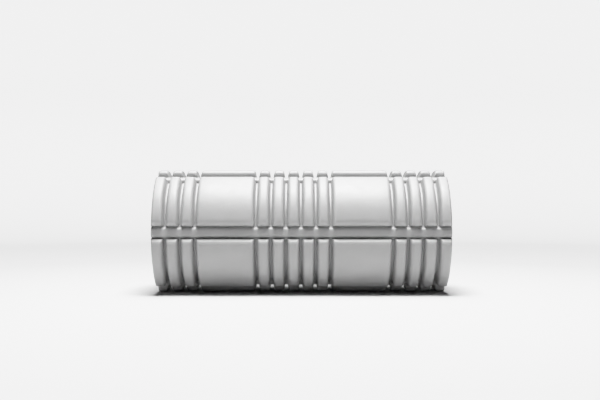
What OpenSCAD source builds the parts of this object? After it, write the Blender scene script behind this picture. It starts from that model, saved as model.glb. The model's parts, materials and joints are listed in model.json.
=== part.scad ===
// Grid foam roller: a moulded foam sleeve bonded onto a hollow rigid core tube.
// The roller's axis is X, +Z is up, and the origin is on the axis at mid-length.

/* [Roller] */
// Diameter over the pads
roller_d = 140; // [136:1:150]
// Rows of pads round the roller
pad_rows = 5; // [4:1:6]
// Ribs at the left end
left_ribs = 3; // [2:1:4]
// Ribs in the middle
middle_ribs = 5; // [3:1:6]
// Ribs at the right end
right_ribs = 4; // [2:1:5]
// Distance from rib to rib
rib_pitch = 16.5; // [15:0.25:20]
// Width of each outermost rib, from the roller's end to the first groove's middle
end_rib_w = 14.75; // [13:0.25:18]
// Left wide pad, from groove middle to groove middle
left_flat_w = 67; // [50:0.5:80]
// Right wide pad, from groove middle to groove middle
right_flat_w = 68.5; // [50:0.5:80]

/* [Grooves] */
// Depth of all the grooves
groove_depth = 11; // [8:0.25:11.5]
// Width of a ring groove's floor
ring_floor_w = 1.8; // [1.5:0.1:3]
// Draft of a ring groove's walls, in degrees
ring_draft = 12; // [5:1:14]
// Rounding of the pad edges along a ring groove
ring_edge_r = 3.4; // [1:0.1:3.6]
// Width of the grooves that run along the roller
long_groove_w = 14.6; // [13:0.1:18]
// Rounding of the pad edges along a long groove
long_edge_r = 5.5; // [2:0.1:6]

/* [Bands] */
// Height of the band that stands up from the floor of each long groove
band_h = 4.5; // [3.7:0.1:5]
// Width of a band's flat top
band_flat_w = 3.8; // [2:0.1:5]
// Rounding of a band's edges
band_edge_r = 3.6; // [3.2:0.1:4]

/* [Ends] */
// Distance from the sleeve's end face in to the pads' end faces
pad_inset = 0.8; // [0.5:0.1:2]
// Rounding of the pads' outboard edges
end_edge_r = 2.2; // [1:0.1:3]
// Distance from the sleeve's end face in to the core's end face
core_inset = 1; // [0:0.5:3]

/* [Core] */
// Outside diameter of the core tube
core_od = 113; // [108:0.5:114]
// Wall of the core tube
core_wall = 4; // [3:0.25:6]
// Chamfer on the core tube's end edges
core_chamfer = 0.8; // [0.2:0.1:1.2]
// Thickness of the adhesive between core and sleeve
bond_t = 0.25; // [0.1:0.05:0.5]

/* [Hidden] */
$fn = 180;

edge_steps = 3;                      // straight steps in each rounded edge
over = 2;                            // how far the cutters stand proud of the pads
under = 1;                           // how far the cutters reach below the grooves' floors
roller_r = roller_d / 2;
floor_r = roller_r - groove_depth;
band_r = floor_r + band_h;
core_r = core_od / 2;
sleeve_bore_r = core_r + bond_t;
rib_gaps = left_ribs + middle_ribs + right_ribs - 2;
roller_len = 2 * end_rib_w + rib_gaps * rib_pitch + left_flat_w + right_flat_w;
half_len = roller_len / 2;
core_half_len = half_len - core_inset;

// Middles of the ring grooves, from the left end
left_grooves = [for (k = [0 : left_ribs - 1]) end_rib_w + k * rib_pitch];
middle_start = left_grooves[left_ribs - 1] + left_flat_w;
middle_grooves = [for (k = [0 : middle_ribs]) middle_start + k * rib_pitch];
right_start = middle_grooves[middle_ribs] + right_flat_w;
right_grooves = [for (k = [0 : right_ribs - 1]) right_start + k * rib_pitch];
ring_grooves = [for (g = concat(left_grooves, middle_grooves, right_grooves)) g - half_len];

// Points of a circular arc, angles in degrees
function arc(centre, r, from, to) =
    [for (k = [0 : edge_steps]) let (a = from + (to - from) * k / edge_steps) centre + r * [cos(a), sin(a)]];
function flipped(points) = [for (k = [len(points) - 1 : -1 : 0]) [points[k][0], -points[k][1]]];

// One side of a ring groove as [radius, distance from the groove's middle]
ring_edge_c = ring_floor_w / 2
    + (ring_edge_r + (groove_depth - ring_edge_r) * sin(ring_draft)) / cos(ring_draft);
ring_side = concat(
    [[roller_r + over, ring_edge_c]],
    arc([roller_r - ring_edge_r, ring_edge_c], ring_edge_r, 0, ring_draft - 90),
    [[floor_r - under, ring_floor_w / 2 - under * tan(ring_draft)]]);

// One side of a long groove as [height, distance from the groove's middle]. Its wall is
// upright, and its edge arc touches both the wall and the pads' cylinder.
long_edge_side = long_groove_w / 2 + long_edge_r;
long_edge_c = [sqrt(pow(roller_r - long_edge_r, 2) - pow(long_edge_side, 2)), long_edge_side];
surface_a = atan2(long_edge_c[1], long_edge_c[0]);
long_side = concat(
    [[roller_r + over, roller_r * sin(surface_a)]],
    arc(long_edge_c, long_edge_r, surface_a, -90),
    [[floor_r - under, long_groove_w / 2]]);

// One side of a band, in the same way, from its flat top down its rounded edge
band_side = concat(
    arc([band_r - band_edge_r, band_flat_w / 2], band_edge_r, 0, 90),
    [[floor_r - 2 * under, band_flat_w / 2 + band_edge_r]]);

// The outer end of a half profile, from the sleeve's end face to the pad's surface
pad_end = half_len - pad_inset;
sleeve_end = concat(
    [[sleeve_bore_r, half_len], [band_r, half_len], [band_r, pad_end]],
    [for (p = arc([roller_r - end_edge_r, pad_end - end_edge_r], end_edge_r, 90, 0)) p]);

module along_x() {
    rotate([0, 90, 0]) children();
}

// The grooves that run round the roller, as solids to cut away
module ring_cutters() {
    for (g = ring_grooves)
        translate([0, 0, g])
            rotate_extrude() polygon(concat(ring_side, flipped(ring_side)));
}

module in_each_row() {
    for (k = [0 : pad_rows - 1])
        rotate([0, 0, k * 360 / pad_rows - 90]) children();
}

// The grooves that run along the roller, as solids to cut away
module long_cutters() {
    in_each_row()
        translate([0, 0, -half_len - over])
            linear_extrude(roller_len + 2 * over) polygon(concat(long_side, flipped(long_side)));
}

// The bands along the middles of the long grooves, which run on across the ring grooves
module bands() {
    in_each_row()
        translate([0, 0, -half_len - 2 * over])
            linear_extrude(roller_len + 4 * over) polygon(concat(band_side, flipped(band_side)));
}

module foam_sleeve() {
    color("gainsboro")
    along_x()
        difference() {
            rotate_extrude() polygon(concat(sleeve_end, flipped(sleeve_end)));
            difference() {
                union() {
                    ring_cutters();
                    long_cutters();
                }
                cylinder(r = floor_r, h = roller_len + 4 * over, center = true);
                bands();
            }
        }
}

// Adhesive film over the core's whole outer face
module bond_layer() {
    color("wheat")
    along_x()
        difference() {
            cylinder(r = sleeve_bore_r, h = 2 * core_half_len - 2 * core_chamfer, center = true);
            cylinder(r = core_r, h = roller_len, center = true);
        }
}

module core_tube() {
    bore_r = core_r - core_wall;
    tube_end = [[bore_r, core_half_len - core_chamfer], [bore_r + core_chamfer, core_half_len],
        [core_r - core_chamfer, core_half_len], [core_r, core_half_len - core_chamfer]];
    color("lightgray")
    along_x()
        rotate_extrude() polygon(concat(tube_end, flipped(tube_end)));
}

core_tube();
bond_layer();
foam_sleeve();
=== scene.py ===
"""Grid foam roller: a moulded EVA sleeve bonded onto a rigid ABS core tube."""

import json
import math

import bpy
import numpy as np
from bpy.props import FloatProperty, FloatVectorProperty, IntProperty, PointerProperty
from bpy.types import Operator, Panel, PropertyGroup
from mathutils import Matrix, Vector


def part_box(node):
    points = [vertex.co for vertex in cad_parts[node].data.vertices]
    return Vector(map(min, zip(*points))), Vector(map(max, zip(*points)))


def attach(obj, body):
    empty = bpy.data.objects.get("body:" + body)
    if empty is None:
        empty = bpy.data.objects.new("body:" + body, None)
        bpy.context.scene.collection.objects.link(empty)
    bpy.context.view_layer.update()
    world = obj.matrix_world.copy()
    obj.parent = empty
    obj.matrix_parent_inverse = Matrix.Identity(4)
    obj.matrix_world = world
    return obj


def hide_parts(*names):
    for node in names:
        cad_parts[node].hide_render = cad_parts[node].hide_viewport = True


bl_info = {
    "name": "Grid Foam Roller",
    "version": (1, 0, 0),
    "blender": (4, 5, 0),
    "location": "View3D > Sidebar > Roller",
    "description": "Builds a grid foam roller: foam sleeve, adhesive film, core tube and studio",
    "category": "Add Mesh",
}

MM = 0.001
BODY = "root"

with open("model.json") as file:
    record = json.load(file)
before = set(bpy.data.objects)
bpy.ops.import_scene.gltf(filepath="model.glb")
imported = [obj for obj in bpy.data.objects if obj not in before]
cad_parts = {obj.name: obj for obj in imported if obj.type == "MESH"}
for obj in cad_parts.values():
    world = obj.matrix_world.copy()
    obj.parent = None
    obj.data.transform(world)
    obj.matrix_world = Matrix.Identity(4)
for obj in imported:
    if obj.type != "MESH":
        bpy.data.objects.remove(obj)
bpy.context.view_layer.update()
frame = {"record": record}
sleeve_low, sleeve_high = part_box("foam_sleeve")
core_low, core_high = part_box("core_tube")
core_bore = next(m for m in frame["record"]["mounts"] if m["name"] == "core_bore")

ROLLER_R = round(sleeve_high.z, 3)
HALF_LEN = sleeve_high.x
CORE_HALF_LEN = core_high.x
CORE_R = core_high.z
CORE_BORE_R = core_bore["dims"]["r_mm"] * MM
BOND_T = round(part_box("bond_layer")[1].z - core_high.z, 5)
SLEEVE_BORE_R = CORE_R + BOND_T

# Rounding of the core tube's end edges, and how finely the tube and the adhesive are divided
CORE_EDGE = 0.8 * MM
EDGE_STEPS = 4
CORE_ROWS = 12
CORE_STEPS = 192

# The adhesive's bead: its size, how much it swells and in how many waves round the tube. Then
# its crest, as shares of the bead and of the film, and its lap and tuck, as shares of the edge
BEAD = 0.35 * MM
BEAD_SWELL = 0.3
BEAD_WAVES = (3, 7, 11, 17)
BEAD_CREST = (0.7, 0.2)
BEAD_LAP = 0.5
BEAD_TUCK = (0.3, 0.1)

# The cove, in metres, and how finely it is divided. Its glow starts this far from mid-floor
COVE_BEND = 0.4
COVE_TOP = 2.2
COVE_STEPS = 96
COVE_BEND_STEPS = 16
GLOW_START = 0.6

# The brightest light that the film tells apart, the points on its curve, the number of the
# curve that holds for all colours, and the sensor's width in millimetres
FILM_RANGE = 4.0
FILM_POINTS = 12
FILM_CURVE = 3
SENSOR_W = 36

# Places of the colour sockets on a Mix node, whose other sockets have the same names
MIX_FIRST, MIX_SECOND, MIX_RESULT = 6, 7, 2


# ---------------------------------------------------------------- colours and nodes


def from_hex(code):
    """The linear colour of an sRGB hex value, with alpha 1."""
    shares = [int(code[k : k + 2], 16) / 255 for k in (1, 3, 5)]
    linear = [s / 12.92 if s <= 0.04045 else ((s + 0.055) / 1.055) ** 2.4 for s in shares]
    return (*linear, 1.0)


def add_node(tree, kind, inputs=None, **settings):
    """Adds a node with its settings. Each input is a value, or the socket to link it from."""
    made = tree.nodes.new(kind)
    for name, value in settings.items():
        setattr(made, name, value)
    for name, value in (inputs or {}).items():
        if isinstance(value, bpy.types.NodeSocket):
            tree.links.new(value, made.inputs[name])
        else:
            made.inputs[name].default_value = value
    return made


def new_material(name):
    """An empty node material, with the object's own coordinates, which are in metres."""
    material = bpy.data.materials.new(name)
    material.use_nodes = True
    tree = material.node_tree
    tree.nodes.clear()
    return material, tree, add_node(tree, "ShaderNodeTexCoord").outputs["Object"]


def finish_material(tree, shader):
    """Links the shader to the material's output."""
    add_node(tree, "ShaderNodeOutputMaterial", {"Surface": shader.outputs["BSDF"]})


def noise(tree, where, size, detail=2.0, roughness=0.5):
    """Noise whose blotches are about this many metres across."""
    return add_node(
        tree, "ShaderNodeTexNoise",
        {"Vector": where, "Scale": 1 / size, "Detail": detail, "Roughness": roughness},
    ).outputs["Fac"]


def ranged(tree, value, low, high, start=0.3, end=0.7):
    """The value spread over low to high."""
    return add_node(
        tree, "ShaderNodeMapRange",
        {"Value": value, "From Min": start, "From Max": end, "To Min": low, "To Max": high},
    ).outputs["Result"]


def mixed(tree, share, first, second):
    """A colour from first to second, by share."""
    made = add_node(tree, "ShaderNodeMix", {"Factor": share}, data_type="RGBA")
    for place, colour in ((MIX_FIRST, first), (MIX_SECOND, second)):
        socket = made.inputs[place]
        if isinstance(colour, bpy.types.NodeSocket):
            tree.links.new(colour, socket)
        else:
            socket.default_value = colour
    return made.outputs[MIX_RESULT]


def bumped(tree, height, depth, below=None):
    """A normal raised by height times depth metres, over the normal below if there is one."""
    inputs = {"Height": height, "Strength": 1.0, "Distance": depth}
    if below is not None:
        inputs["Normal"] = below
    return add_node(tree, "ShaderNodeBump", inputs).outputs["Normal"]


def shaded(colour, amount):
    """The colour made darker or lighter by a factor."""
    return (*[c * amount for c in colour[:3]], 1.0)


# ---------------------------------------------------------------- materials


def moulded_eva(look):
    """EVA foam with its closed moulded skin: matt with a faint satin, finely pebbled by the
    mould, a little cloudy in tone, and slightly see-through at thin edges."""
    material, tree, where = new_material("moulded_eva_foam")
    foam = (*look.foam_colour, 1.0)
    clouds = ranged(tree, noise(tree, where, 18 * MM, 3.0), 0.0, 1.0)
    colour = mixed(tree, clouds, shaded(foam, 0.965), shaded(foam, 1.02))
    flecks = ranged(tree, noise(tree, where, 1.1 * MM, 1.0), 0.0, 1.0, 0.62, 0.8)
    colour = mixed(tree, flecks, colour, shaded(foam, 0.9))
    satin = look.foam_roughness
    gloss = ranged(tree, noise(tree, where, 9 * MM, 3.0), satin - 0.05, satin + 0.06)
    sag = bumped(tree, noise(tree, where, 30 * MM, 1.0), 0.06 * MM)
    pebble = add_node(
        tree, "ShaderNodeTexVoronoi",
        {"Vector": where, "Scale": 1 / look.pebble_size, "Smoothness": 0.6},
        feature="SMOOTH_F1",
    ).outputs["Distance"]
    skin = bumped(tree, pebble, 0.02 * MM, sag)
    shader = add_node(
        tree, "ShaderNodeBsdfPrincipled",
        {
            "Base Color": colour, "Roughness": gloss, "Normal": skin, "IOR": 1.48,
            "Subsurface Weight": 0.12, "Subsurface Radius": (1.0, 0.95, 0.9), "Subsurface Scale": 2 * MM,
            "Sheen Weight": 0.05, "Sheen Roughness": 0.5,
        },
    )
    finish_material(tree, shader)
    return material


def cut_eva(look):
    """EVA foam where it was trimmed: its small open cells show as hollows, darkened with painted shade, so
    it is fully matt.
    """
    material, tree, where = new_material("cut_eva_foam")
    foam = (*look.foam_colour, 1.0)
    cells = add_node(
        tree, "ShaderNodeTexVoronoi", {"Vector": where, "Scale": 1 / (0.7 * MM)}, feature="F1"
    ).outputs["Distance"]
    # Painted shade: the colour darkens towards the middle of each cell, where the bump sinks into a hollow
    painted_pit_shade = ranged(tree, cells, 1.0, 0.0, 0.05, 0.45)
    colour = mixed(tree, painted_pit_shade, shaded(foam, 0.97), shaded(foam, 0.78))
    shader = add_node(
        tree, "ShaderNodeBsdfPrincipled",
        {"Base Color": colour, "Roughness": 0.9, "Normal": bumped(tree, cells, 0.25 * MM), "IOR": 1.48},
    )
    finish_material(tree, shader)
    return material


def extruded_abs(look):
    """Extruded ABS tube: satin, with faint die lines along its length and light scuffs."""
    material, tree, where = new_material("extruded_abs_tube")
    abs_colour = (*look.core_colour, 1.0)
    stretched = add_node(tree, "ShaderNodeMapping", {"Vector": where, "Scale": (0.02, 1.0, 1.0)})
    lines = noise(tree, stretched.outputs["Vector"], 1.2 * MM, 3.0)
    clouds = ranged(tree, noise(tree, where, 25 * MM, 2.0), 0.0, 1.0)
    colour = mixed(tree, clouds, shaded(abs_colour, 0.96), abs_colour)
    scuffs = ranged(tree, noise(tree, where, 3 * MM, 5.0, 0.7), 0.0, 1.0, 0.55, 0.75)
    gloss = ranged(tree, scuffs, 0.34, 0.52, 0.0, 1.0)
    shader = add_node(
        tree, "ShaderNodeBsdfPrincipled",
        {"Base Color": colour, "Roughness": gloss, "Normal": bumped(tree, lines, 0.06 * MM), "IOR": 1.54},
    )
    finish_material(tree, shader)
    return material


def contact_adhesive(look):
    """Dried contact adhesive: glossy, slightly amber and see-through where it squeezed out."""
    material, tree, where = new_material("dried_contact_adhesive")
    glue = (*look.glue_colour, 1.0)
    clouds = ranged(tree, noise(tree, where, 4 * MM, 2.0), 0.0, 1.0)
    shader = add_node(
        tree, "ShaderNodeBsdfPrincipled",
        {
            "Base Color": mixed(tree, clouds, shaded(glue, 0.85), glue), "Roughness": 0.22, "IOR": 1.5,
            "Normal": bumped(tree, noise(tree, where, 1.5 * MM), 0.15 * MM),
            "Subsurface Weight": 0.3, "Subsurface Radius": (1.0, 0.8, 0.5), "Subsurface Scale": 1 * MM,
        },
    )
    finish_material(tree, shader)
    return material


def cove_paint(studio):
    """Matt emulsion on the cove, with painted light: it glows more and more towards its rim so that it stays
    pale.
    """
    material, tree, where = new_material("matt_emulsion_paint")
    paint = (*studio.paint_colour, 1.0)
    flat = add_node(tree, "ShaderNodeMapping", {"Vector": where, "Scale": (1.0, 1.0, 0.0)}).outputs["Vector"]
    out = add_node(tree, "ShaderNodeVectorMath", {"Vector": flat}, operation="LENGTH").outputs["Value"]
    shader = add_node(
        tree, "ShaderNodeBsdfPrincipled",
        {
            "Base Color": paint, "Roughness": 0.8, "Emission Color": paint,
            # Painted light: the paint's own glow rises from the glow start to the rim glow at the wall
            "Emission Strength": ranged(tree, out, 0.0, studio.rim_glow, GLOW_START, studio.cove_radius),
        },
    )
    finish_material(tree, shader)
    return material


# ---------------------------------------------------------------- settings


def length(name, description, default, low=0.0, high=1.0):
    """A setting that holds a length in metres."""
    return FloatProperty(
        name=name, description=description, default=default, min=low, max=high,
        unit="LENGTH", subtype="DISTANCE", precision=5,
    )


def slant(name, description, degrees):
    """A setting that holds a small angle, given in degrees."""
    return FloatProperty(
        name=name, description=description, default=math.radians(degrees),
        min=0.0, max=math.radians(40), unit="ROTATION", subtype="ANGLE",
    )


def tint(name, description, code):
    """A setting that holds a colour, given as a hex value."""
    return FloatVectorProperty(
        name=name, description=description, default=from_hex(code)[:3],
        size=3, min=0.0, max=1.0, subtype="COLOR",
    )


class RollerPattern(PropertyGroup):
    """The pads, grooves and bands moulded into the sleeve."""

    rows: IntProperty(name="Rows", description="Rows of pads round the roller", default=5, min=3, max=8)
    left_ribs: IntProperty(name="Left ribs", description="Ribs at the left end", default=3, min=1, max=6)
    middle_ribs: IntProperty(name="Middle ribs", description="Ribs in the middle", default=5, min=1, max=8)
    right_ribs: IntProperty(name="Right ribs", description="Ribs at the right end", default=4, min=1, max=6)
    rib_pitch: length("Rib pitch", "Distance from rib to rib", 16.5 * MM)
    end_rib: length("End rib", "Width of each outermost rib, to the first groove's middle", 14.75 * MM)
    left_flat: length("Left flat", "Left wide pad, from groove middle to groove middle", 67 * MM)
    depth: length("Groove depth", "Depth of all the grooves", 11 * MM)
    foot: length("Groove foot", "Rounding where a wall meets a groove's floor", 0.5 * MM)
    corner: length("Pad corner", "Rounding of a pad's corners, seen from above", 1.5 * MM)
    ring_floor: length("Ring groove floor", "Width of a ring groove's floor", 1.8 * MM)
    ring_draft: slant("Ring groove draft", "Lean of a ring groove's walls", 12)
    ring_edge: length("Ring groove edge", "Rounding of the pad edges along a ring groove", 3.4 * MM)
    long_width: length("Long groove width", "Width of the grooves along the roller", 14.6 * MM)
    upright_draft: slant("Upright draft", "Lean of the long grooves' walls and the pads' ends", 1)
    long_edge: length("Long groove edge", "Rounding of the pad edges along a long groove", 5.5 * MM)
    band_height: length("Band height", "Height of the band on each long groove's floor", 4.5 * MM)
    band_flat: length("Band flat", "Width of a band's flat top", 3.8 * MM)
    band_edge: length("Band edge", "Rounding of a band's edges", 3.6 * MM)
    pad_inset: length("Pad inset", "Distance from the sleeve's end face in to the pads' ends", 0.8 * MM)
    end_edge: length("End edge", "Rounding of the pads' outboard edges", 2.2 * MM)
    seam_row: IntProperty(
        name="Seam row", description="Band that holds the sleeve's seam", default=3, min=0, max=7
    )
    seam_depth: length("Seam depth", "Depth of the line where the sleeve's two edges meet", 0.5 * MM)


class RollerLook(PropertyGroup):
    """Colours and finishes."""

    foam_colour: tint("Foam", "Colour of the foam sleeve", "#B1B1B1")
    core_colour: tint("Core", "Colour of the core tube", "#BDBDBD")
    glue_colour: tint("Adhesive", "Colour of the dried adhesive", "#CDB98F")
    foam_roughness: FloatProperty(
        name="Foam roughness", description="0 is glossy, 1 is matt",
        default=0.42, min=0.0, max=1.0, subtype="FACTOR",
    )
    pebble_size: length("Pebble size", "Size of the grain that the mould gives the foam's skin", 0.9 * MM)


class RollerStudio(PropertyGroup):
    """Floor, backdrop, lights and camera."""

    paint_colour: tint("Paint", "Colour of the floor and its rim", "#D8D8D8")
    floor_radius: length("Floor radius", "From mid-floor to the start of the rim", 0.9, 0.3, 5.0)
    cove_radius: length("Cove radius", "From mid-floor to the wall of the rim", 1.7, 0.5, 5.0)
    rim_glow: FloatProperty(
        name="Rim glow", description="Brightness of the rim's own light", default=0.95, min=0.0
    )
    softbox_w: length("Softbox width", "Width of both overhead softboxes", 0.7, 0.1, 5.0)
    softbox_d: length("Softbox depth", "Depth of both overhead softboxes", 0.6, 0.1, 5.0)
    softbox_z: length("Softbox height", "Height of the softboxes over the roller's axis", 1.45, 0.2, 5.0)
    key_y: length("Key offset", "How far the key softbox is moved towards the back", -0.24, -3.0, 3.0)
    rear_y: length("Rear offset", "How far the rear softbox is moved towards the back", 0.4, -3.0, 3.0)
    key_power: FloatProperty(
        name="Key power", description="Power of the key softbox", default=42.0, min=0.0, unit="POWER"
    )
    rear_power: FloatProperty(
        name="Rear power", description="Power of the rear softbox", default=13.0, min=0.0, unit="POWER"
    )
    film_knee: FloatProperty(
        name="Film knee", description="Tone above which highlights are compressed",
        default=0.55, min=0.1, max=1.0,
    )
    film_top: FloatProperty(
        name="Film top", description="Tone that the brightest highlights reach",
        default=0.97, min=0.1, max=1.0,
    )
    sky: FloatProperty(
        name="Fill", description="Strength of the even light from all round", default=0.01, min=0.0
    )
    camera_distance: length("Camera distance", "From the camera to the roller's axis", 1.117, 0.2, 5.0)
    camera_height: length("Camera height", "Height of the camera over the roller's axis", 35.5 * MM)
    camera_side: length(
        "Camera side", "How far the camera stands to the right of mid-length", -1.7 * MM, -1.0
    )
    focal_length: FloatProperty(
        name="Focal length", description="Focal length on a 36 mm wide sensor, in millimetres",
        default=57.8, min=10.0, max=300.0,
    )


# ---------------------------------------------------------------- the sleeve's profiles

# How finely each profile is divided, and the index of the last line down a wall
WALL_STEPS = 8
FOOT_STEPS = 2
BAND_STEPS = 6
PAD_STEPS = 14
RIB_STEPS = 2
WIDE_PAD_STEPS = 6
BORE_STEPS = 7
FOOT_END = WALL_STEPS + FOOT_STEPS

# How far a band's foot spreads, so that its last two lines stay apart
BAND_LEAN = 0.05 * MM

# Rounding of an end face's edges, and how far in from them its flat part is held by a line
END_ROUND = 0.3 * MM
FACE_OUT, FACE_IN = 3 * END_ROUND, 2 * END_ROUND

# Kinds of wall along the roller: a ring groove's, and the pads' outboard ends
RING, END = 0, 1


def arc(centre, radius, start, end, steps):
    """Points along an arc, from angle start to end, in radians."""
    angles = np.linspace(start, end, steps + 1)
    return np.array(centre) + radius * np.column_stack([np.cos(angles), np.sin(angles)])


def wall_radii(p):
    """Radii of the grid lines down every wall, from the pads' tops to the grooves' floors. They
    are the same for all grooves, so that two walls meet in a clean mitre at a pad's corner."""
    above_foot = (p.depth - p.foot) * (np.arange(WALL_STEPS + 1) / WALL_STEPS) ** 2
    round_foot = p.depth - p.foot * (1 - np.sin(np.linspace(0, math.pi / 2, FOOT_STEPS + 1)[1:]))
    return ROLLER_R - np.concatenate([above_foot, round_foot])


def half_chord(radius, offset):
    """Half the width of a circle, at this distance from its middle."""
    return np.sqrt(np.maximum(radius**2 - offset**2, 0))


def ring_side(p):
    """Distance from a ring groove's middle to its wall, at each of the wall radii."""
    r = wall_radii(p)
    floor_r = ROLLER_R - p.depth
    half, lean = p.ring_floor / 2, p.ring_draft
    edge_c = half + (p.ring_edge + (p.depth - p.ring_edge) * math.sin(lean)) / math.cos(lean)
    foot_c = half - p.foot * (1 - math.sin(lean)) / math.cos(lean)
    edge = edge_c - half_chord(p.ring_edge, r - (ROLLER_R - p.ring_edge))
    wall = half + (r - floor_r) * math.tan(lean)
    foot = foot_c + half_chord(p.foot, r - (floor_r + p.foot))
    on_edge = r > ROLLER_R - p.ring_edge * (1 - math.sin(lean))
    on_foot = r < floor_r + p.foot * (1 - math.sin(lean))
    return np.where(on_edge, edge, np.where(on_foot, foot, wall))


def turn_to(radius, centre_r, arc_r):
    """Angle at the axis between an arc's centre and the point where it has this radius."""
    share = (centre_r**2 + radius**2 - arc_r**2) / (2 * centre_r * radius)
    return np.arccos(np.clip(share, -1, 1))


def long_side(p):
    """Distance from a long groove's middle plane to its wall, at each of the wall radii."""
    r = wall_radii(p)
    half = p.long_width / 2
    edge_r, foot_r = ROLLER_R - p.long_edge, ROLLER_R - p.depth + p.foot
    edge = math.asin((half + p.long_edge) / edge_r) - turn_to(r, edge_r, p.long_edge)
    foot = math.asin((half - p.foot) / foot_r) + turn_to(r, foot_r, p.foot)
    wall = half + (r - foot_r) * math.tan(p.upright_draft)
    on_edge = r > math.hypot(half_chord(edge_r, half + p.long_edge), half)
    on_foot = r < math.hypot(half_chord(foot_r, half - p.foot), half)
    return np.where(on_edge, r * np.sin(edge), np.where(on_foot, r * np.sin(foot), wall))


def band_side(p):
    """Half of a band, from its foot up its rounded edge to its middle, as [angle, radius]."""
    floor_r = ROLLER_R - p.depth
    centre = (floor_r + p.band_height - p.band_edge, p.band_flat / 2)
    foot = (floor_r, p.band_flat / 2 + p.band_edge + BAND_LEAN)
    points = [foot, *arc(centre, p.band_edge, math.pi / 2, 0, BAND_STEPS), (floor_r + p.band_height, 0)]
    return np.array([[math.atan2(t, h), math.hypot(h, t)] for h, t in points])


def end_side(p):
    """Distance in from the sleeve's end face, and the radius, of the lines down the pads' ends.
    The lines that would lie below the bands' tops run out over the ledge there instead."""
    r = wall_radii(p)
    ledge_r = ROLLER_R - p.depth + p.band_height
    edge = p.end_edge - half_chord(p.end_edge, r - (ROLLER_R - p.end_edge))
    wall = p.pad_inset + (r - ledge_r) * math.tan(p.upright_draft)
    inside = wall + np.where(r > ROLLER_R - p.end_edge, edge, 0)
    ledge = r < ledge_r
    inside[ledge] = np.linspace(p.pad_inset, END_ROUND, ledge.sum() + 1)[1:]
    return inside, np.maximum(r, ledge_r)


def groove_middles(p):
    """Middles of the ring grooves along the roller."""
    left = [p.end_rib + k * p.rib_pitch for k in range(p.left_ribs)]
    right = [2 * HALF_LEN - p.end_rib - k * p.rib_pitch for k in range(p.right_ribs)]
    start = left[-1] + p.left_flat
    middle = [start + k * p.rib_pitch for k in range(p.middle_ribs + 1)]
    return [g - HALF_LEN for g in left + middle + right[::-1]]


# ---------------------------------------------------------------- the sleeve's grid


class Lines:
    """Grid lines in one direction. Each has its place (metres along, or radians round), its
    radius, its index down a wall (-1 on a pad's top, more than FOOT_END on a groove's floor), the
    middle of its groove, its distance from there, which way the pad lies, and the kind of wall.
    At the sleeve's ends the end face stands for the middle of a groove."""

    def __init__(self):
        self.rows = []

    def add(self, place, radius, index=-1, middle=0.0, away=0.0, way=1, kind=RING):
        self.rows.append((place, radius, index, middle, away, way, kind))

    def add_wall(self, middle, way, sides, places, radii, kind=RING):
        """Lines up a wall on the side of growing place, or down it on the other side."""
        order = range(len(sides))[::-1] if way > 0 else range(len(sides))
        for k in order:
            self.add(middle + way * places[k], radii[k], k, middle, sides[k], way, kind)

    def add_top(self, end, steps):
        """Lines on a pad's top, between the last line and end."""
        for place in np.linspace(self.rows[-1][0], end, steps + 1)[1:-1]:
            self.add(place, ROLLER_R)

    def arrays(self):
        place, radius, index, middle, away, way, kind = np.array(self.rows).T
        return place, radius, index.astype(int), middle, away, way, kind.astype(int)


def lines_along(p):
    """Grid lines at places along the roller, from the left end face to the right one."""
    lines = Lines()
    ring, radii = ring_side(p), wall_radii(p)
    inside, end_radii = end_side(p)
    lines.add_wall(-HALF_LEN, 1, inside, inside, end_radii, END)
    for g in groove_middles(p):
        wide = g - lines.rows[-1][0] > p.rib_pitch
        lines.add_top(g - ring[0], WIDE_PAD_STEPS if wide else RIB_STEPS)
        lines.add_wall(g, -1, ring, ring, radii)
        lines.add(g, radii[-1], FOOT_END + 1)
        lines.add_wall(g, 1, ring, ring, radii)
    lines.add_top(HALF_LEN - inside[0], RIB_STEPS)
    lines.add_wall(HALF_LEN, -1, inside, inside, end_radii, END)
    return lines


def lines_round(p):
    """Grid lines at angles round the roller, upwards from the band that faces the front. Also
    the numbers of the lines at the bottom of the seam."""
    lines = Lines()
    pitch = 2 * math.pi / p.rows
    sides, radii, band = long_side(p), wall_radii(p), band_side(p)
    places = np.arcsin(sides / radii)
    half_seam = p.seam_depth / ROLLER_R / 2
    seam = []
    for k in range(p.rows):
        middle = k * pitch
        if k == p.seam_row:
            lines.add(middle - half_seam, band[-1, 1], FOOT_END + 1)
            seam.append(len(lines.rows))
        lines.add(middle, band[-1, 1], FOOT_END + 1)
        if k == p.seam_row:
            lines.add(middle + half_seam, band[-1, 1], FOOT_END + 1)
        for turned, radius in band[-2::-1]:
            lines.add(middle + turned, radius, FOOT_END + 1)
        lines.add_wall(middle, 1, sides, places, radii)
        lines.add_top(middle + pitch - places[0], PAD_STEPS)
        lines.add_wall(middle + pitch, -1, sides, places, radii)
        for turned, radius in band[:-1]:
            lines.add(middle + pitch - turned, radius, FOOT_END + 1)
    return lines, seam


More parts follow.
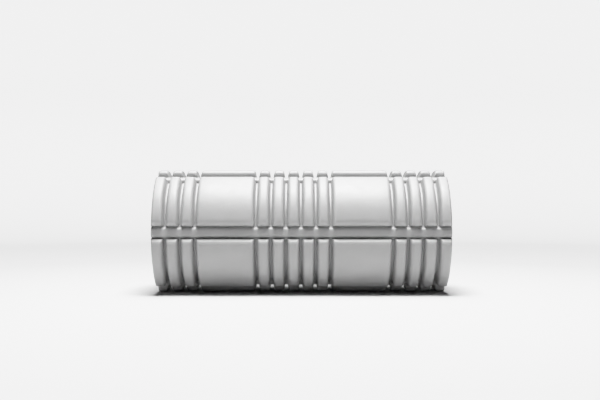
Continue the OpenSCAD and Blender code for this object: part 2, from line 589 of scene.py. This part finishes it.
def moulded_grid(p, along, around):
    """Place along, angle and radius at each crossing of the grid lines, with the upright corners
    of the pads rounded."""
    x, radius_x, index_x, middle_x, away_x, way_x, kind = [v[:, None] for v in along.arrays()]
    angle, radius_a, index_a, middle_a, away_a, way_a, _ = [v[None, :] for v in around.arrays()]
    radius = np.where(index_a > FOOT_END, radius_a, np.minimum(radius_x, radius_a))

    # A corner stands where both walls reach the level of the deeper line. Near it both bend, along
    # an arc that ends on each wall at the corner's rounding from there
    level = np.maximum(index_x, index_a)
    on_walls = (np.minimum(index_x, index_a) >= 0) & (level <= FOOT_END)
    level = np.clip(level, 0, FOOT_END)
    end_away, end_radii = end_side(p)
    on_ledge = (kind == END) & (end_radii[level] > wall_radii(p)[level])
    corner_x = np.where(kind == END, end_away[level], ring_side(p)[level])
    corner_a = long_side(p)[level]
    apart = np.maximum(away_x - corner_x, away_a - corner_a)
    near = on_walls & ~on_ledge & (apart < p.corner)
    turn = math.pi / 4 * (1 - np.clip(apart / p.corner, 0, 1))
    small, large = p.corner * (1 - np.cos(turn)), p.corner * (1 - np.sin(turn))
    away_x = np.where(near, corner_x + np.where(index_x >= index_a, small, large), away_x)
    away_a = np.where(near, corner_a + np.where(index_x >= index_a, large, small), away_a)
    x = np.where(near, middle_x + way_x * away_x, x)
    on_long_wall = (index_a >= 0) & (index_a <= FOOT_END)
    angle = np.where(on_long_wall, middle_a + way_a * np.arcsin(away_a / radius), angle)
    return np.broadcast_to(x, radius.shape), np.broadcast_to(angle, radius.shape), radius


# ---------------------------------------------------------------- building the pieces


def new_piece(name, corners, faces, materials, slots=None):
    """A smooth mesh object in the scene."""
    mesh = bpy.data.meshes.new(name)
    mesh.from_pydata(corners.tolist(), [], faces.tolist())
    for material in materials:
        mesh.materials.append(material)
    mesh.polygons.foreach_set("use_smooth", np.ones(len(faces), bool))
    if slots is not None:
        mesh.polygons.foreach_set("material_index", slots)
    mesh.validate()
    mesh.update()
    piece = bpy.data.objects.new(name, mesh)
    bpy.context.scene.collection.objects.link(piece)
    return piece


def ring_faces(rows, columns):
    """Quads of a grid that is closed both ways, as a torus is."""
    i, j = np.meshgrid(np.arange(rows), np.arange(columns), indexing="ij")
    next_i, next_j = (i + 1) % rows, (j + 1) % columns
    quads = (i * columns + j, next_i * columns + j, next_i * columns + next_j, i * columns + next_j)
    return np.stack(quads, -1).reshape(-1, 4)


def round_axis(x, angles, radius):
    """Points at places along X, at angles measured upwards from the front."""
    return np.stack([x, -radius * np.cos(angles), radius * np.sin(angles)], -1)


def sleeve_mesh(p):
    """Corners and faces of the whole sleeve: its moulded side, end faces and bore. Also how
    many of the first faces are the moulded side."""
    along = lines_along(p)
    around, seam = lines_round(p)
    place, angle, radius = moulded_grid(p, along, around)
    outline = np.minimum(radius[0], radius[-1])

    # Down the right end face, back through the bore and up the left end face
    round_mid = END_ROUND * (1 - math.sqrt(0.5))
    lip = SLEEVE_BORE_R + END_ROUND
    down = [
        (HALF_LEN - round_mid, outline - round_mid), (HALF_LEN, outline - END_ROUND),
        (HALF_LEN, outline - FACE_OUT), (HALF_LEN, lip + FACE_IN), (HALF_LEN, lip),
        (HALF_LEN - END_ROUND, SLEEVE_BORE_R),
    ]
    inside = [(x, SLEEVE_BORE_R) for x in np.linspace(HALF_LEN, -HALF_LEN, BORE_STEPS + 1)[1:-1]]
    rest = [*down, *inside, *[(-x, r) for x, r in down[::-1]]]
    x = np.vstack([place, *[np.full_like(outline, x) for x, _ in rest]])
    r = np.vstack([radius, *[np.broadcast_to(r, outline.shape) for _, r in rest]])
    angles = np.vstack([angle, *[around.arrays()[0]] * len(rest)])

    # The seam is a fine line down the band and across both end faces
    r[: len(place), seam] -= p.seam_depth
    on_face = np.abs(x[:, 0]) > HALF_LEN - END_ROUND / 2
    for j in seam:
        x[on_face, j] -= np.sign(x[on_face, j]) * p.seam_depth
    corners = round_axis(x, angles, r).reshape(-1, 3)
    return corners, ring_faces(*x.shape), (len(place) - 1) * x.shape[1]


def lathed(profile, steps):
    """Corners and faces of a closed profile of (x, radius) points, turned round the axis. The
    radius and x may also be arrays with a value for each of the steps."""
    turned = np.linspace(0, 2 * math.pi, steps, endpoint=False)
    x = np.array([np.broadcast_to(q[0], steps) for q in profile])
    r = np.array([np.broadcast_to(q[1], steps) for q in profile])
    corners = round_axis(x, np.broadcast_to(turned, x.shape), r).reshape(-1, 3)
    return corners, ring_faces(len(profile), steps)


def rounded_tube(half_len, inner_r, outer_r, edge_r, rows):
    """Closed profile of a tube with rounded end edges."""
    end = [
        *arc((half_len - edge_r, outer_r - edge_r), edge_r, math.pi / 2, 0, EDGE_STEPS),
        *arc((half_len - edge_r, inner_r + edge_r), edge_r, 0, -math.pi / 2, EDGE_STEPS),
    ]
    inside = [(x, inner_r) for x in np.linspace(half_len - edge_r, edge_r - half_len, rows + 1)[1:-1]]
    outside = [(x, outer_r) for x in np.linspace(edge_r - half_len, half_len - edge_r, rows + 1)[1:-1]]
    return [*end, *inside, *[(-x, r) for x, r in end[::-1]], *outside]


class ROLLER_OT_sleeve(Operator):
    """Builds the moulded foam sleeve, with its pads, grooves, trimmed ends and seam"""

    bl_idname = "roller.sleeve"
    bl_label = "Foam Sleeve"

    def execute(self, context):
        p = context.scene.roller_pattern
        look = context.scene.roller_look
        corners, faces, moulded = sleeve_mesh(p)
        slots = np.ones(len(faces), np.int32)
        slots[:moulded] = 0
        sleeve = new_piece("foam_sleeve_skin", corners, faces, [moulded_eva(look), cut_eva(look)], slots)
        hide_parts("foam_sleeve")
        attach(sleeve, BODY)
        return {"FINISHED"}


class ROLLER_OT_core(Operator):
    """Builds the core tube, with its deburred end edges"""

    bl_idname = "roller.core"
    bl_label = "Core Tube"

    def execute(self, context):
        profile = rounded_tube(CORE_HALF_LEN, CORE_BORE_R, CORE_R, CORE_EDGE, CORE_ROWS)
        corners, faces = lathed(profile, CORE_STEPS)
        core = new_piece("core_tube_wall", corners, faces, [extruded_abs(context.scene.roller_look)])
        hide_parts("core_tube")
        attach(core, BODY)
        return {"FINISHED"}


class ROLLER_OT_bond(Operator):
    """Builds the adhesive film, with the uneven bead that squeezed out at each end"""

    bl_idname = "roller.bond"
    bl_label = "Adhesive Film"

    def execute(self, context):
        turned = np.linspace(0, 2 * math.pi, CORE_STEPS, endpoint=False)
        swell = sum(np.sin(n * turned + n * n) / n for n in BEAD_WAVES)
        bead = BEAD * (1 + BEAD_SWELL * swell)
        film_end = CORE_HALF_LEN - CORE_EDGE
        tube_end = film_end + CORE_EDGE
        crest_x, crest_r = BEAD_CREST
        tuck_x, tuck_r = BEAD_TUCK
        right = [
            (film_end, SLEEVE_BORE_R),
            (tube_end + bead, SLEEVE_BORE_R),
            (tube_end + crest_x * bead, CORE_R + crest_r * BOND_T),
            (tube_end, CORE_R - BEAD_LAP * CORE_EDGE),
            (film_end + tuck_x * CORE_EDGE, CORE_R - tuck_r * CORE_EDGE),
            (film_end, CORE_R),
        ]
        profile = [*right, *[(-x, r) for x, r in right[::-1]]]
        corners, faces = lathed(profile, CORE_STEPS)
        film = new_piece("bond_film", corners, faces, [contact_adhesive(context.scene.roller_look)])
        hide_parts("bond_layer")
        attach(film, BODY)
        return {"FINISHED"}


# ---------------------------------------------------------------- studio


def add_light(name, place, aim, power, width, depth):
    """A rectangular softbox that faces a point."""
    light = bpy.data.lights.new(name, "AREA")
    light.shape = "RECTANGLE"
    light.size, light.size_y = width, depth
    light.energy = power
    lamp = bpy.data.objects.new(name, light)
    lamp.location = place
    lamp.rotation_euler = (Vector(aim) - Vector(place)).to_track_quat("-Z", "Y").to_euler()
    bpy.context.scene.collection.objects.link(lamp)


class ROLLER_OT_studio(Operator):
    """Builds the pale floor and its rim, the softboxes, the fill light and the camera"""

    bl_idname = "roller.studio"
    bl_label = "Studio"

    def execute(self, context):
        studio = context.scene.roller_studio
        self.add_cove(studio)
        size = (studio.softbox_w, studio.softbox_d)
        add_light("key_softbox", (0, studio.key_y, studio.softbox_z), (0, 0, 0), studio.key_power, *size)
        add_light("rear_softbox", (0, studio.rear_y, studio.softbox_z), (0, 0, 0), studio.rear_power, *size)
        self.fill(context.scene, studio.sky)
        self.place_camera(context.scene, studio)
        self.develop(context.scene, studio)
        return {"FINISHED"}

    def develop(self, scene, studio):
        """Plain tones up to the knee, then a soft shoulder that keeps the highlights from burning."""
        view = scene.view_settings
        view.view_transform = "Standard"
        view.use_curve_mapping = True
        mapping = view.curve_mapping
        mapping.white_level = (FILM_RANGE,) * 3
        curve = mapping.curves[FILM_CURVE]
        knee, room = studio.film_knee, studio.film_top - studio.film_knee

        def shoulder(light):
            return knee + room * (1 - math.exp((knee - light) / room))

        curve.points[0].location = (0, 0)
        for light in np.linspace(knee, FILM_RANGE, FILM_POINTS)[:-1]:
            curve.points.new(light / FILM_RANGE, shoulder(light))
        curve.points[-1].location = (1, shoulder(FILM_RANGE))
        mapping.update()

    def add_cove(self, studio):
        """Round floor, and round it a rim that bends up into a wall. The rim shows behind the
        roller from every side, but throws no light back on it."""
        floor = -ROLLER_R
        paint = cove_paint(studio)
        turned = np.linspace(0, 2 * math.pi, COVE_STEPS, endpoint=False)
        edge = studio.floor_radius
        disc = [(edge * math.cos(t), edge * math.sin(t), floor) for t in turned]
        new_piece("studio_floor", np.array(disc), np.arange(COVE_STEPS)[None, :], [paint])

        wall = studio.cove_radius
        bend = arc((wall - COVE_BEND, floor + COVE_BEND), COVE_BEND, -math.pi / 2, 0, COVE_BEND_STEPS)
        line = np.array([(edge, floor), *bend, (wall, COVE_TOP)])
        r, z = line[:, 0, None], line[:, 1, None]
        places = np.broadcast_arrays(r * np.cos(turned), r * np.sin(turned), z)
        corners = np.stack(places, -1).reshape(-1, 3)
        faces = ring_faces(len(line), COVE_STEPS)[: (len(line) - 1) * COVE_STEPS]
        rim = new_piece("studio_rim", corners, faces, [paint])
        rim.visible_diffuse = False
        rim.visible_glossy = False

    def fill(self, scene, strength):
        """Even light from all round."""
        world = bpy.data.worlds.new("studio_fill")
        scene.world = world
        world.use_nodes = True
        background = next(n for n in world.node_tree.nodes if n.type == "BACKGROUND")
        background.inputs["Color"].default_value = (1, 1, 1, 1)
        background.inputs["Strength"].default_value = strength

    def place_camera(self, scene, studio):
        """A level camera in front of the roller, which looks straight along Y."""
        data = bpy.data.cameras.new("camera")
        data.sensor_width = SENSOR_W
        data.lens = studio.focal_length
        camera = bpy.data.objects.new("camera", data)
        camera.location = (studio.camera_side, -studio.camera_distance, studio.camera_height)
        camera.rotation_euler = (math.pi / 2, 0, 0)
        scene.collection.objects.link(camera)
        scene.camera = camera


# ---------------------------------------------------------------- the add-on


class ROLLER_PT_panel(Panel):
    """The roller's settings and buttons"""

    bl_label = "Foam Roller"
    bl_space_type = "VIEW_3D"
    bl_region_type = "UI"
    bl_category = "Roller"

    def draw(self, context):
        column = self.layout.column()
        for group in GROUPS:
            settings = getattr(context.scene, group)
            for name in settings.__annotations__:
                column.prop(settings, name)
            column.separator()
        for operator in OPERATORS:
            column.operator(operator.bl_idname)


GROUPS = {"roller_pattern": RollerPattern, "roller_look": RollerLook, "roller_studio": RollerStudio}
OPERATORS = (ROLLER_OT_studio, ROLLER_OT_sleeve, ROLLER_OT_core, ROLLER_OT_bond)
CLASSES = (*GROUPS.values(), *OPERATORS, ROLLER_PT_panel)


def register():
    for kind in CLASSES:
        bpy.utils.register_class(kind)
    for name, group in GROUPS.items():
        setattr(bpy.types.Scene, name, PointerProperty(type=group))


def unregister():
    for name in GROUPS:
        delattr(bpy.types.Scene, name)
    for kind in reversed(CLASSES):
        bpy.utils.unregister_class(kind)


def main():
    register()
    bpy.ops.roller.studio()
    bpy.ops.roller.sleeve()
    bpy.ops.roller.core()
    bpy.ops.roller.bond()


if __name__ == "__main__":
    main()
